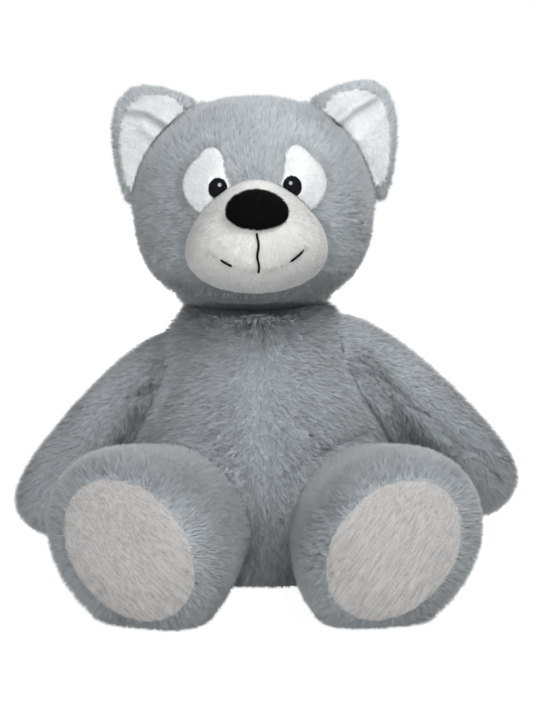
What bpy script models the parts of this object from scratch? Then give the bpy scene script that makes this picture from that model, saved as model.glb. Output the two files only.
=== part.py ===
"""A seated plush husky, built the way it is sewn.

Stuffed forms (body, head, arms, legs, tail, muzzle, nose) are coarse cages smoothed by
subdivision. Each one is cut where it is sewn against its neighbour. Flat pieces of short
pile cloth (soles, eye patches, ear linings) are cut from the skin of the form they lie on.

Metres, +Z up. The toy faces -Y and sits on the plane Z = 0, with the origin in the middle
of its seat. Left and right are the toy's own: its left side is +X.
"""

import math

import bmesh
import bpy
from mathutils import Euler, Matrix, Vector
from mathutils.bvhtree import BVHTree

MM = 0.001
SIDES = {"left": 1, "right": -1}

# Sewing
SEAM_GAP = 0.3 * MM
CLOTH_THICK = 1.6 * MM
SMOOTH_LARGE = 2
SMOOTH_SMALL = 1

# Body, a pear that is flat underneath
BODY_HEIGHT = 186 * MM
BODY_WIDTH = 172 * MM
BODY_DEPTH = 134 * MM
BELLY_FORWARD = 6 * MM

# Head
HEAD_WIDTH = 143 * MM
HEAD_DEPTH = 124 * MM
HEAD_HEIGHT = 130 * MM
HEAD_SINK = 25 * MM
HEAD_FORWARD = 10 * MM
HEAD_ASIDE = 5 * MM
HEAD_TURN = math.radians(1.5)
HEAD_ROLL = math.radians(1.3)

# Muzzle and nose
MUZZLE_WIDTH = 80 * MM
MUZZLE_HEIGHT = 66 * MM
MUZZLE_REACH = 34 * MM
MUZZLE_DROP = 11.5 * MM
MUZZLE_ROOT = 26 * MM
MUZZLE_TAPER = 0.65  # share of its width that it loses from its foot to its top
NOSE_WIDTH = 35 * MM
NOSE_HEIGHT = 23 * MM
NOSE_BULGE = 8 * MM
NOSE_UP = 19 * MM
NOSE_ROOT = 7 * MM
NOSE_TAPER = 0.2  # share of its width that it loses from its foot to its top

# Eyes and the white patches behind them
PATCH_OUT = 40.5 * MM
PATCH_HEIGHT = 38 * MM
EYE_WIDTH = 12.6 * MM
EYE_HEIGHT = 13.4 * MM
EYE_BULGE = 1.8 * MM
EYE_APART = 42.6 * MM
EYE_UP = 16.6 * MM
GLINT_WIDTH = 2.6 * MM
GLINT_BULGE = 0.5 * MM
GLINT_IN = 1 * MM
GLINT_UP = 1.8 * MM

# Mouth, a thread down the middle and one along each side of the smile
THREAD_THICK = 1.3 * MM
MOUTH_TOP = 1 * MM
MOUTH_LOW = 24 * MM
SMILE_HALF = 28 * MM
SMILE_RISE = 12 * MM
THREAD_CLEAR = 0.6 * MM

# Ears, drawn in the head's XZ plane for the +X side: (out, up) of the rim and of the root
EAR_RIM = ((31 * MM, 59 * MM), (108 * MM, 102.5 * MM), (78 * MM, -2 * MM))
EAR_ROOT = ((25 * MM, 49 * MM), (57 * MM, 42 * MM), (63 * MM, -4 * MM))
EAR_ASIDE = 2 * MM  # how far the pair sits towards the toy's left
EAR_BACK = 8 * MM
EAR_THICK = 7 * MM
EAR_CUP = 13 * MM
EAR_LEAN = 4 * MM
LINING_INNER = 0.12  # share of the ear's width left bare beside the lining's inner edge
LINING_OUTER = 0.06  # and beside its outer edge
LINING_TOP = 0.15  # share of the ear's height left bare above it

# Arms
ARM_LENGTH = 145 * MM
ARM_ROOT_OUT = {"left": 37 * MM, "right": 39.5 * MM}
ARM_ROOT_BELOW_NECK = {"left": 51.5 * MM, "right": 57.5 * MM}
ARM_THICK = 50 * MM
ARM_DEPTH = 44 * MM
ARM_FORWARD = 3 * MM
ARM_RAISE = {"left": math.radians(1.5), "right": math.radians(-3)}

# Legs, which end in a wide oval foot
FOOT_LENGTH = 115 * MM
FOOT_WIDTH = 95 * MM
FOOT_OUT = 78 * MM
FOOT_FORWARD = 139 * MM
FOOT_UP = 44.5 * MM
FOOT_ROLL = math.radians(43)
LEG_LENGTH = 126 * MM
LEG_SPLAY = {"left": math.radians(13), "right": math.radians(20)}
SOLE_LENGTH = 90 * MM
SOLE_WIDTH = 70 * MM
SOLE_IN = 4 * MM
SOLE_DOWN = 1.5 * MM

# Tail
TAIL_LENGTH = 90 * MM
TAIL_THICK = 40 * MM
TAIL_UP = 30 * MM
TAIL_CURL = math.radians(95)

# What follows from the sizes above
NECK_TOP = BODY_HEIGHT
HEAD_CENTRE = Vector((-HEAD_ASIDE, -HEAD_FORWARD, NECK_TOP - HEAD_SINK + HEAD_HEIGHT / 2))
HEAD_FRONT = -HEAD_DEPTH / 2

# Colours of the cloths, as linear RGB
GREY_PLUSH = (0.30, 0.335, 0.355)
WHITE_PILE = (0.80, 0.81, 0.82)
MUZZLE_PILE = (0.66, 0.66, 0.65)
SOLE_PILE = (0.47, 0.455, 0.44)
BLACK_PLUSH = (0.006, 0.006, 0.007)
BLACK_THREAD = (0.008, 0.008, 0.009)


def cloth(name, colour, roughness):
    """A cloth's material: no shine, a little sheen."""
    material = bpy.data.materials.new(name)
    material.use_nodes = True
    shader = material.node_tree.nodes["Principled BSDF"]
    shader.inputs["Base Color"].default_value = (*colour, 1.0)
    shader.inputs["Roughness"].default_value = roughness
    shader.inputs["Metallic"].default_value = 0.0
    shader.inputs["Sheen Weight"].default_value = 0.3
    return material


def clear_scene():
    for obj in list(bpy.data.objects):
        bpy.data.objects.remove(obj)


def new_collection(name):
    collection = bpy.data.collections.new(name)
    bpy.context.scene.collection.children.link(collection)
    return collection


def add_object(name, data, collection, parent=None, material=None):
    obj = bpy.data.objects.new(name, data)
    collection.objects.link(obj)
    obj.parent = parent
    if material:
        obj.data.materials.append(material)
    return obj


def add_frame(name, location, turn=(0, 0, 0)):
    """An empty that places every piece parented to it."""
    frame = add_object(name, None, toy)
    frame.location = location
    frame.rotation_euler = turn
    return frame


def ring(centre, along, half_across, half_other, across=(1, 0, 0)):
    """The matrix that places a unit circle as one ring of a cage, square to the direction along."""
    along = Vector(along).normalized()
    other = along.cross(across).normalized()
    axes = Matrix((other.cross(along) * half_across, other * half_other, along)).transposed()
    return Matrix.Translation(centre) @ axes.to_4x4()


def soft_form(name, rings, sides, levels, parent=None, material=None):
    """A stuffed form: a cage of rings with a cap at each end, smoothed by subdivision."""
    shrink = (4 + 2 * math.cos(math.tau / sides)) / 6
    bm = bmesh.new()
    bmesh.ops.create_circle(bm, cap_ends=True, segments=sides, radius=1 / shrink)
    bm.faces.ensure_lookup_table()
    cap = bm.faces[0]
    bmesh.ops.transform(bm, matrix=rings[0], verts=cap.verts)
    for before, here in zip(rings, rings[1:]):
        grown_on = bmesh.ops.extrude_face_region(bm, geom=[cap, *cap.edges])
        cap = next(g for g in grown_on["geom"] if isinstance(g, bmesh.types.BMFace))
        bmesh.ops.transform(bm, matrix=here @ before.inverted(), verts=cap.verts)
    bmesh.ops.recalc_face_normals(bm, faces=bm.faces)
    mesh = bpy.data.meshes.new(name)
    bm.to_mesh(mesh)
    bm.free()
    mesh.shade_smooth()
    form = add_object(name, mesh, toy, parent, material)
    smooth(form, levels)
    return form


def smooth(obj, levels):
    rounding = obj.modifiers.new("rounding", "SUBSURF")
    rounding.levels = levels
    rounding.render_levels = levels


def as_guide(obj):
    """Makes obj a helper that no render shows."""
    obj.hide_render = True
    obj.display_type = "WIRE"
    return obj


def grown(form, by):
    """A guide in the shape of form, before its cuts, with its skin moved out by this much."""
    guide = add_object(f"{form.name}_grown_{by / MM:.1f}", form.data, guides, form.parent)
    for modifier in form.modifiers:
        if modifier.type == "SUBSURF":
            smooth(guide, modifier.levels)
        elif modifier.type == "SOLIDIFY":
            thicken(guide, modifier.thickness, modifier.offset)
    puff = guide.modifiers.new("puff", "DISPLACE")
    puff.mid_level = 0.0
    puff.strength = by
    return as_guide(guide)


def thicken(obj, thickness, offset):
    wall = obj.modifiers.new("wall", "SOLIDIFY")
    wall.thickness = thickness
    wall.offset = offset
    wall.use_even_offset = True


def combine(obj, other, operation="DIFFERENCE"):
    cut = obj.modifiers.new(f"{operation.lower()} {other.name}", "BOOLEAN")
    cut.operation = operation
    cut.object = other
    cut.solver = "EXACT"


def sew_against(obj, *forms, clearance=SEAM_GAP):
    """Cuts obj back to lie a seam's gap clear of each form."""
    for form in forms:
        combine(obj, grown(form, clearance))


def evaluated_mesh(obj):
    bpy.context.view_layer.update()
    graph = bpy.context.evaluated_depsgraph_get()
    return bpy.data.meshes.new_from_object(obj.evaluated_get(graph), depsgraph=graph)


def skin_search(guide):
    """A search tree of a guide's skin, in the coordinates of the guide's own frame."""
    mesh = evaluated_mesh(guide)
    tree = BVHTree.FromPolygons([v.co for v in mesh.vertices], [p.vertices for p in mesh.polygons])
    bpy.data.meshes.remove(mesh)
    return tree


def on_front(tree, across, up):
    """Where a line straight back through (across, up) first meets a skin, and its normal."""
    point, normal, _, _ = tree.ray_cast(Vector((across, -1.0, up)), Vector((0, 1, 0)))
    return point, normal


def outline_prism(name, points, parent, front, back):
    """A closed smooth outline in the frame's XZ plane, as a prism from front to back."""
    curve = bpy.data.curves.new(name, "CURVE")
    curve.dimensions = "2D"
    curve.fill_mode = "BOTH"
    curve.resolution_u = 4
    curve.extrude = (back - front) / 2
    spline = curve.splines.new("BEZIER")
    spline.bezier_points.add(len(points) - 1)
    spline.use_cyclic_u = True
    for knot, (across, up) in zip(spline.bezier_points, points):
        knot.co = (across, up, 0)
        knot.handle_left_type = "AUTO"
        knot.handle_right_type = "AUTO"
    drawn = add_object(name, curve, guides)
    mesh = evaluated_mesh(drawn)
    bpy.data.objects.remove(drawn)
    bm = bmesh.new()
    bm.from_mesh(mesh)
    bmesh.ops.remove_doubles(bm, verts=bm.verts, dist=0.01 * MM)
    bmesh.ops.rotate(bm, verts=bm.verts, matrix=Matrix.Rotation(math.pi / 2, 3, "X"))
    bmesh.ops.translate(bm, verts=bm.verts, vec=(0, (front + back) / 2, 0))
    bmesh.ops.recalc_face_normals(bm, faces=bm.faces)
    bm.to_mesh(mesh)
    bm.free()
    return add_object(name, mesh, toy, parent)


def cloth_patch(name, points, carrier, front, back, material):
    """A piece of cloth of this outline, laid on the skin of its carrier."""
    patch = outline_prism(name, points, carrier.parent, front, back)
    patch.data.materials.append(material)
    combine(patch, grown(carrier, SEAM_GAP + CLOTH_THICK), "INTERSECT")
    combine(patch, grown(carrier, SEAM_GAP))
    return patch


def button(name, tree, across, up, width, height, bulge, segments, parent, material):
    """A lens of satin stitch whose middle plane lies on a skin, as a flattened ball."""
    bm = bmesh.new()
    bmesh.ops.create_uvsphere(bm, u_segments=segments, v_segments=segments // 2, radius=0.5)
    point, normal = on_front(tree, across, up)
    size = Matrix.Diagonal((width, height, 2 * bulge, 1.0))
    turn = normal.to_track_quat("Z", "Y").to_matrix().to_4x4()
    bmesh.ops.transform(bm, matrix=Matrix.Translation(point) @ turn @ size, verts=bm.verts)
    mesh = bpy.data.meshes.new(name)
    bm.to_mesh(mesh)
    bm.free()
    mesh.shade_smooth()
    return add_object(name, mesh, toy, parent, material)


def thread(name, route, tree, parent, material):
    """A thread that follows a route of (across, up) points over a skin, its ends closed."""
    curve = bpy.data.curves.new(name, "CURVE")
    curve.dimensions = "3D"
    curve.bevel_depth = THREAD_THICK / 2
    curve.bevel_resolution = 1
    curve.use_fill_caps = True
    spline = curve.splines.new("POLY")
    spline.points.add(len(route) - 1)
    for knot, (across, up) in zip(spline.points, route):
        knot.co = (*on_front(tree, across, up)[0], 1.0)
    drawn = add_object(name, curve, guides)
    mesh = evaluated_mesh(drawn)
    bpy.data.objects.remove(drawn)
    bm = bmesh.new()
    bm.from_mesh(mesh)
    bmesh.ops.remove_doubles(bm, verts=bm.verts, dist=0.01 * MM)
    bmesh.ops.recalc_face_normals(bm, faces=bm.faces)
    bm.to_mesh(mesh)
    bm.free()
    return add_object(name, mesh, toy, parent, material)


def curve_point(start, pull, end, share):
    """A point on the quadratic curve from start to end that pull bends."""
    return (1 - share) ** 2 * start + 2 * share * (1 - share) * pull + share**2 * end


def make_floor():
    """A block under the seat that flattens whatever rests on the ground."""
    bpy.ops.mesh.primitive_cube_add(size=1, location=(0, 0, -0.5))
    block = bpy.context.object
    block.name = "floor"
    for collection in block.users_collection:
        collection.objects.unlink(block)
    guides.objects.link(block)
    return as_guide(block)


def make_body():
    """The pear-shaped body, flat where it sits and dished where the head is sewn on. It leans a
    little to the side that the head is on."""
    profile = (
        (-0.05, 0.56, 0.56),
        (0.04, 0.89, 0.88),
        (0.21, 1.03, 1.02),
        (0.41, 0.94, 0.97),
        (0.58, 0.755, 0.83),
        (0.75, 0.60, 0.69),
        (0.91, 0.51, 0.60),
        (1.01, 0.38, 0.46),
    )
    rings = [
        ring(
            (
                -HEAD_ASIDE * height**2,
                -BELLY_FORWARD * math.sin(math.pi * min(1, max(0, height))),
                height * BODY_HEIGHT,
            ),
            (0, 0, 1),
            width * BODY_WIDTH / 2,
            depth * BODY_DEPTH / 2,
        )
        for height, width, depth in profile
    ]
    body = soft_form("body", rings, 8, SMOOTH_LARGE, material=grey_plush)
    combine(body, floor)
    return body


def make_head():
    """The round stuffed head, widest a little below its middle, with full cheeks."""
    profile = (
        (-0.50, 0.36, 0.40),
        (-0.44, 0.70, 0.69),
        (-0.27, 0.955, 0.93),
        (-0.05, 1.04, 1.03),
        (0.18, 0.965, 0.97),
        (0.35, 0.745, 0.76),
        (0.45, 0.48, 0.50),
        (0.495, 0.24, 0.26),
    )
    rings = [
        ring((0, 0, height * HEAD_HEIGHT), (0, 0, 1), width * HEAD_WIDTH / 2, depth * HEAD_DEPTH / 2)
        for height, width, depth in profile
    ]
    return soft_form("head", rings, 8, SMOOTH_LARGE, head_frame, grey_plush)


def make_muzzle():
    """The white muzzle, sewn round its root to the front of the head."""
    profile = (
        (-MUZZLE_ROOT, 0.94, 0.92),
        (0.0, 1.02, 1.02),
        (0.45 * MUZZLE_REACH, 0.93, 0.93),
        (0.80 * MUZZLE_REACH, 0.68, 0.70),
        (1.02 * MUZZLE_REACH, 0.30, 0.34),
    )
    rings = [
        ring(
            (0, HEAD_FRONT - reach, -MUZZLE_DROP),
            (0, -1, 0),
            across * MUZZLE_WIDTH / 2,
            up * MUZZLE_HEIGHT / 2,
        )
        for reach, across, up in profile
    ]
    muzzle = soft_form("muzzle", rings, 12, SMOOTH_SMALL, head_frame, muzzle_pile)
    for vert in muzzle.data.vertices:
        vert.co.x *= 1 - MUZZLE_TAPER * (vert.co.z + MUZZLE_DROP) / MUZZLE_HEIGHT
    sew_against(muzzle, head)
    return muzzle


def make_nose():
    """The black plush nose on the upper front of the muzzle."""
    point, normal = on_front(skin_search(muzzle_skin), 0, NOSE_UP - MUZZLE_DROP)
    profile = ((-NOSE_ROOT, 0.80), (0.0, 1.04), (0.62 * NOSE_BULGE, 0.92), (1.1 * NOSE_BULGE, 0.42))
    rings = [
        ring(point + out * normal, normal, girth * NOSE_WIDTH / 2, girth * NOSE_HEIGHT / 2)
        for out, girth in profile
    ]
    nose = soft_form("nose", rings, 10, SMOOTH_SMALL, head_frame, black_plush)
    for vert in nose.data.vertices:
        vert.co.x *= 1 - NOSE_TAPER * (vert.co.z - point.z) / NOSE_HEIGHT
    sew_against(nose, muzzle, head)
    return nose


def make_mouth():
    """The thread below the nose and the two halves of the smile, couched onto the muzzle."""
    tree = skin_search(grown(muzzle, SEAM_GAP + THREAD_THICK / 2))
    top = NOSE_UP - NOSE_HEIGHT / 2 - MOUTH_TOP - MUZZLE_DROP
    low = top - MOUTH_LOW + MOUTH_TOP
    steps = 7
    upright = [(0, top + (low - top) * step / steps) for step in range(steps + 1)]
    stitch = thread("mouth_stitch", upright, tree, head_frame, black_thread)
    sew_against(stitch, nose)
    for side, out in SIDES.items():
        start = THREAD_THICK / 2 + THREAD_CLEAR
        route = []
        for step in range(steps + 1):
            share = step / steps
            across = start + share * (SMILE_HALF - start)
            route.append((out * across, low + THREAD_THICK + SMILE_RISE * share**2.2))
        thread(f"smile_stitch_{side}", route, tree, head_frame, black_thread)


def make_eye_patches():
    """The white patch behind each eye, a leaf whose tip points up over the brow."""
    leaf = (
        (0.55, 1.0),
        (0.80, 0.84),
        (1.0, 0.49),
        (0.91, 0.20),
        (0.62, 0.0),
        (0.32, 0.20),
        (0.42, 0.64),
    )
    for side, out in SIDES.items():
        points = [(out * across * PATCH_OUT, up * PATCH_HEIGHT) for across, up in leaf]
        patch = cloth_patch(f"eye_patch_{side}", points, head, 2 * HEAD_FRONT, 0, white_pile)
        sew_against(patch, muzzle)


def make_eyes():
    """Embroidered oval eyes, each with a small white glint."""
    patch_tree = skin_search(grown(head, SEAM_GAP + CLOTH_THICK))
    for side, out in SIDES.items():
        across = out * EYE_APART / 2
        eye_shape = (EYE_WIDTH, EYE_HEIGHT, EYE_BULGE, 14)
        eye = button(f"eye_{side}", patch_tree, across, EYE_UP, *eye_shape, head_frame, black_thread)
        eye_skin = as_guide(add_object(f"eye_skin_{side}", eye.data, guides, head_frame))
        spot = (across - out * GLINT_IN, EYE_UP + GLINT_UP)
        glint_shape = (GLINT_WIDTH, GLINT_WIDTH, GLINT_BULGE + SEAM_GAP, 8)
        tree = skin_search(eye_skin)
        glint = button(f"eye_glint_{side}", tree, *spot, *glint_shape, head_frame, white_pile)
        sew_against(glint, eye)
        combine(eye, grown(head, 2 * SEAM_GAP + CLOTH_THICK))
        sew_against(eye, muzzle)


def ear_point(out, across, up):
    """A point of the ear's front skin. across runs from the inner edge, 0, to the outer one, 1.
    up runs from the root, 0, to the rim, 1."""
    root, rim = (
        curve_point(*(Vector((out * x, 0, z)) for x, z in outline), across)
        for outline in (EAR_ROOT, EAR_RIM)
    )
    point = root.lerp(rim, up)
    point.x += EAR_ASIDE
    point.y = EAR_BACK + EAR_LEAN * up - EAR_CUP * (2 * across - 1) ** 2 * (1 - 0.3 * up)
    return point


def ear_sheet(name, out, bare, lift, thickness, offset, material):
    """One layer of an ear, as thick as this: its front skin, less the shares left bare inside,
    outside and above, moved forward by lift."""
    bare_inner, bare_outer, bare_top = bare
    bm = bmesh.new()
    bmesh.ops.create_grid(bm, x_segments=5, y_segments=4, size=0.5)
    for vert in bm.verts:
        across = bare_inner + (vert.co.x + 0.5) * (1 - bare_inner - bare_outer)
        vert.co = ear_point(out, across, (vert.co.y + 0.5) * (1 - bare_top))
        vert.co.y -= lift
    bm.normal_update()
    if sum(face.normal.y for face in bm.faces) > 0:
        bmesh.ops.reverse_faces(bm, faces=bm.faces)
    mesh = bpy.data.meshes.new(name)
    bm.to_mesh(mesh)
    bm.free()
    mesh.shade_smooth()
    sheet = add_object(name, mesh, toy, head_frame, material)
    thicken(sheet, thickness, offset)
    smooth(sheet, SMOOTH_SMALL)
    return sheet


def make_ears():
    """Cupped, blunt triangular ears: a plush back, and a white lining set in from its rim."""
    for side, out in SIDES.items():
        back = ear_sheet(f"ear_back_{side}", out, (0, 0, 0), 0, EAR_THICK, -1, grey_plush)
        bare = (LINING_INNER, LINING_OUTER, LINING_TOP)
        lining = ear_sheet(f"ear_lining_{side}", out, bare, 3 * SEAM_GAP, CLOTH_THICK, 1, white_pile)
        sew_against(lining, back, head)
        sew_against(back, head)


def make_arm(side, out):
    """One arm, sewn to the body at the shoulder and hanging out to a rounded paw."""
    shoulder = (out * ARM_ROOT_OUT[side], -ARM_FORWARD, NECK_TOP - ARM_ROOT_BELOW_NECK[side])
    frame = add_frame(f"arm_frame_{side}", shoulder, (0, -out * ARM_RAISE[side], 0))
    path = (
        (-0.11, 0.085, 0.50),
        (-0.055, 0.06, 0.84),
        (0.07, 0.005, 0.98),
        (0.22, -0.107, 1.06),
        (0.39, -0.272, 1.08),
        (0.555, -0.448, 1.07),
        (0.685, -0.598, 0.94),
        (0.745, -0.662, 0.52),
    )
    points = [Vector((out * across, 0, up)) * ARM_LENGTH for across, up, _ in path]
    rings = []
    for index, (_, _, girth) in enumerate(path):
        along = points[min(len(points) - 1, index + 1)] - points[max(0, index - 1)]
        size = (girth * ARM_DEPTH / 2, girth * ARM_THICK / 2)
        rings.append(ring(points[index], along, *size, across=(0, 1, 0)))
    return soft_form(f"arm_{side}", rings, 12, SMOOTH_SMALL, frame, grey_plush)


def make_leg(side, out):
    """One leg: a tapered thigh that ends in a wide oval foot, rolled out, flat on the ground."""
    frame = add_frame(
        f"leg_frame_{side}",
        (out * FOOT_OUT, -FOOT_FORWARD, FOOT_UP),
        Euler((0, out * FOOT_ROLL, out * LEG_SPLAY[side]), "XYZ"),
    )
    profile = (
        (-0.035, 0.45, 0.45),
        (0.0, 0.80, 0.78),
        (0.03, 0.95, 0.93),
        (0.12, 1.02, 1.01),
        (0.28, 1.02, 1.00),
        (0.48, 0.90, 0.93),
        (0.72, 0.78, 0.86),
        (1.0, 0.60, 0.72),
    )
    rings = [
        ring((0, back * LEG_LENGTH, 0), (0, 1, 0), width * FOOT_WIDTH / 2, length * FOOT_LENGTH / 2)
        for back, length, width in profile
    ]
    leg = soft_form(f"leg_{side}", rings, 12, SMOOTH_SMALL, frame, grey_plush)
    sole = cloth_patch(
        f"sole_{side}",
        [
            (math.cos(turn) * SOLE_WIDTH / 2 - out * SOLE_IN, math.sin(turn) * SOLE_LENGTH / 2 - SOLE_DOWN)
            for turn in (math.tau * step / 8 for step in range(8))
        ],
        leg,
        -LEG_LENGTH / 2,
        LEG_LENGTH / 10,
        sole_pile,
    )
    combine(leg, floor)
    combine(sole, floor)
    return leg


def make_tail():
    """A stubby tail, sewn low on the back and curling up."""
    steps = 4
    spot = Vector((0, BODY_DEPTH / 2 - TAIL_THICK / 2, TAIL_UP))
    rings = []
    girths = (0.80, 1.0, 1.06, 0.94, 0.44)
    for step, girth in enumerate(girths):
        angle = TAIL_CURL * step / steps
        along = Vector((0, math.cos(angle), math.sin(angle)))
        rings.append(ring(spot, along, girth * TAIL_THICK / 2, girth * TAIL_THICK / 2))
        spot = spot + along * (TAIL_LENGTH / steps)
    tail = soft_form("tail", rings, 10, SMOOTH_SMALL, material=grey_plush)
    sew_against(tail, body)
    return tail


clear_scene()
toy = new_collection("plush_husky")
guides = new_collection("guides")
grey_plush = cloth("grey_plush", GREY_PLUSH, 0.95)
white_pile = cloth("white_pile", WHITE_PILE, 0.95)
muzzle_pile = cloth("muzzle_pile", MUZZLE_PILE, 0.95)
sole_pile = cloth("sole_pile", SOLE_PILE, 0.9)
black_plush = cloth("black_plush", BLACK_PLUSH, 0.95)
black_thread = cloth("black_thread", BLACK_THREAD, 0.5)

floor = make_floor()
head_frame = add_frame("head_frame", HEAD_CENTRE, (0, -HEAD_ROLL, HEAD_TURN))
body = make_body()
head = make_head()
sew_against(body, head)
muzzle = make_muzzle()
muzzle_skin = grown(muzzle, SEAM_GAP)
nose = make_nose()
make_mouth()
make_eye_patches()
make_eyes()
make_ears()
legs = [make_leg(side, out) for side, out in SIDES.items()]
arms = [make_arm(side, out) for side, out in SIDES.items()]
for leg in legs:
    sew_against(leg, body)
for arm in arms:
    sew_against(arm, body, head, *legs)
make_tail()
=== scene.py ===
"""A seated plush husky: its sewn skins, its pile, its embroidery, and the room it is lit in."""

import math

import bmesh
import bpy
import numpy as np
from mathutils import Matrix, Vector, kdtree
from mathutils.bvhtree import BVHTree


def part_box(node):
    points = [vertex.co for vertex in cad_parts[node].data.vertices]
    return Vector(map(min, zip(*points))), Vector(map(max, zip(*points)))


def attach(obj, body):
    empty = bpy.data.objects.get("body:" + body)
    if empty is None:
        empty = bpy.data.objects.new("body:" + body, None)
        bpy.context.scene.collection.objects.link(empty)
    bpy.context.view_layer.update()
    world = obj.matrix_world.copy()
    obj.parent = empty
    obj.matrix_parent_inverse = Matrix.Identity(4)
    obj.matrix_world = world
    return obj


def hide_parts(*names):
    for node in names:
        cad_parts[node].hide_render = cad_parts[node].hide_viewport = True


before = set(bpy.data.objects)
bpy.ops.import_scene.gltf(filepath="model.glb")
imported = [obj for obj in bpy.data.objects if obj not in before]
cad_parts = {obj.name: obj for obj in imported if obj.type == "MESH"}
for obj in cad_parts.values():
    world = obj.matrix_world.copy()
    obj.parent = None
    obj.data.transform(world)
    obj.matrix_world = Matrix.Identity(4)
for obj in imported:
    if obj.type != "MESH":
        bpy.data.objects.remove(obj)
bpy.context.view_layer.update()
MM = 0.001


# The room: a white floor under white surroundings, a broad soft lamp high on the toy's left, a
# lower one on its right and a weak one behind. The camera looks at the toy's chest, slightly
# down, from nearly two metres.
CAMERA_AWAY = 1.8
CAMERA_DOWN = math.radians(10.2)
LOOK_AT = Vector((2.7 * MM, 0, 132 * MM))
PICTURE_ROWS = 711
FRAME_HEIGHT = PICTURE_ROWS * 0.603 * MM

camera = bpy.data.objects.new("camera", bpy.data.cameras.new("camera"))
bpy.context.scene.collection.objects.link(camera)
camera.location = LOOK_AT + CAMERA_AWAY * Vector((0, -math.cos(CAMERA_DOWN), math.sin(CAMERA_DOWN)))
camera.rotation_euler = (math.pi / 2 - CAMERA_DOWN, 0, 0)
camera.data.lens = camera.data.sensor_width * CAMERA_AWAY / FRAME_HEIGHT
bpy.context.scene.camera = camera
bpy.context.scene.view_settings.view_transform = "Standard"


def softbox(name, spot, target, size, power):
    lamp = bpy.data.objects.new(name, bpy.data.lights.new(name, "AREA"))
    bpy.context.scene.collection.objects.link(lamp)
    lamp.location = spot
    lamp.rotation_euler = (Vector(target) - lamp.location).to_track_quat("-Z", "Y").to_euler()
    lamp.data.size = size
    lamp.data.energy = power


softbox("key_lamp", (0.36, -1.0, 1.22), (0, 0, 0.12), 0.6, 19)
softbox("fill_lamp", (-0.4, -1.6, 0.42), (0, 0, 0.14), 0.9, 9)
softbox("back_lamp", (0.1, 1.3, 0.8), (0, 0, 0.15), 0.8, 11)

world = bpy.data.worlds.new("studio")
world.use_nodes = True
bpy.context.scene.world = world
world_nodes, world_links = world.node_tree.nodes, world.node_tree.links
world_nodes.clear()
ray = world_nodes.new("ShaderNodeLightPath")
seen = world_nodes.new("ShaderNodeMath")
seen.operation = "MAXIMUM"
strength = world_nodes.new("ShaderNodeMapRange")
strength.inputs["To Min"].default_value = 0.36
strength.inputs["To Max"].default_value = 1.0
sky = world_nodes.new("ShaderNodeBackground")
sky.inputs["Color"].default_value = (1, 1, 1, 1)
world_out = world_nodes.new("ShaderNodeOutputWorld")
world_links.new(ray.outputs["Is Camera Ray"], seen.inputs[0])
world_links.new(ray.outputs["Is Glossy Ray"], seen.inputs[1])
world_links.new(seen.outputs[0], strength.inputs["Value"])
world_links.new(strength.outputs["Result"], sky.inputs["Strength"])
world_links.new(sky.outputs["Background"], world_out.inputs["Surface"])

paper = bpy.data.materials.new("white_paper")
paper.use_nodes = True
paper_nodes, paper_links = paper.node_tree.nodes, paper.node_tree.links
paper_nodes.clear()
paper_ray = paper_nodes.new("ShaderNodeLightPath")
paper_glow = paper_nodes.new("ShaderNodeEmission")
paper_glow.inputs["Color"].default_value = (1, 1, 1, 1)
paper_glow.inputs["Strength"].default_value = 1.2
paper_matt = paper_nodes.new("ShaderNodeBsdfDiffuse")
paper_matt.inputs["Color"].default_value = (0.75, 0.75, 0.75, 1)
paper_share = paper_nodes.new("ShaderNodeMath")
paper_share.operation = "MULTIPLY"
paper_share.inputs[1].default_value = 0.8
paper_mix = paper_nodes.new("ShaderNodeMixShader")
paper_out = paper_nodes.new("ShaderNodeOutputMaterial")
paper_links.new(paper_ray.outputs["Is Camera Ray"], paper_share.inputs[0])
paper_links.new(paper_share.outputs[0], paper_mix.inputs["Fac"])
paper_links.new(paper_matt.outputs["BSDF"], paper_mix.inputs[1])
paper_links.new(paper_glow.outputs["Emission"], paper_mix.inputs[2])
paper_links.new(paper_mix.outputs["Shader"], paper_out.inputs["Surface"])

bm = bmesh.new()
bmesh.ops.create_grid(bm, x_segments=1, y_segments=1, size=1.6)
bmesh.ops.translate(bm, verts=bm.verts, vec=(0, 0, -0.4 * MM))
sheet = bpy.data.meshes.new("floor")
bm.to_mesh(sheet)
bm.free()
sheet.materials.append(paper)
floor = bpy.data.objects.new("floor", sheet)
bpy.context.scene.collection.objects.link(floor)


# The body: a pear of short grey plush, sewn up the belly, turned and stuffed with fibre. Its
# pile falls down and away from the belly seam.
CLOTH_VOXEL = 4.5 * MM
PILE_RISE = 3.2 * MM
PLUSH_PILE = 5.6 * MM
SEAM_REACH = 4.5 * MM
SWELL = 4 * MM
SWELL_PRESSURE = 4
SWELL_FRAMES = 20
TIP_CLEARANCE = 0.2 * MM
GREY_ROOT = (0.30, 0.326, 0.344)
GREY_MIDDLE = (0.42, 0.452, 0.474)
GREY_TIP = (0.53, 0.564, 0.586)


def node_tree(*names):
    """A search tree over the CAD solids of these nodes."""
    bm = bmesh.new()
    for name in names:
        bm.from_mesh(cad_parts[name].data)
    tree = BVHTree.FromBMesh(bm)
    bm.free()
    return tree


def distances(tree, points):
    return np.array([tree.find_nearest(Vector(point))[3] for point in points])


def positions(mesh):
    flat = np.empty(len(mesh.vertices) * 3, np.float32)
    mesh.vertices.foreach_get("co", flat)
    return flat.reshape(-1, 3).astype(float)


def vertex_normals(mesh):
    flat = np.empty(len(mesh.vertices) * 3, np.float32)
    mesh.vertex_normals.foreach_get("vector", flat)
    return flat.reshape(-1, 3).astype(float)


def place_vertices(mesh, points):
    mesh.vertices.foreach_set("co", points.astype(np.float32).ravel())
    mesh.update()


def unit(vectors):
    return vectors / np.maximum(np.linalg.norm(vectors, axis=-1, keepdims=True), 1e-9)


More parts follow.
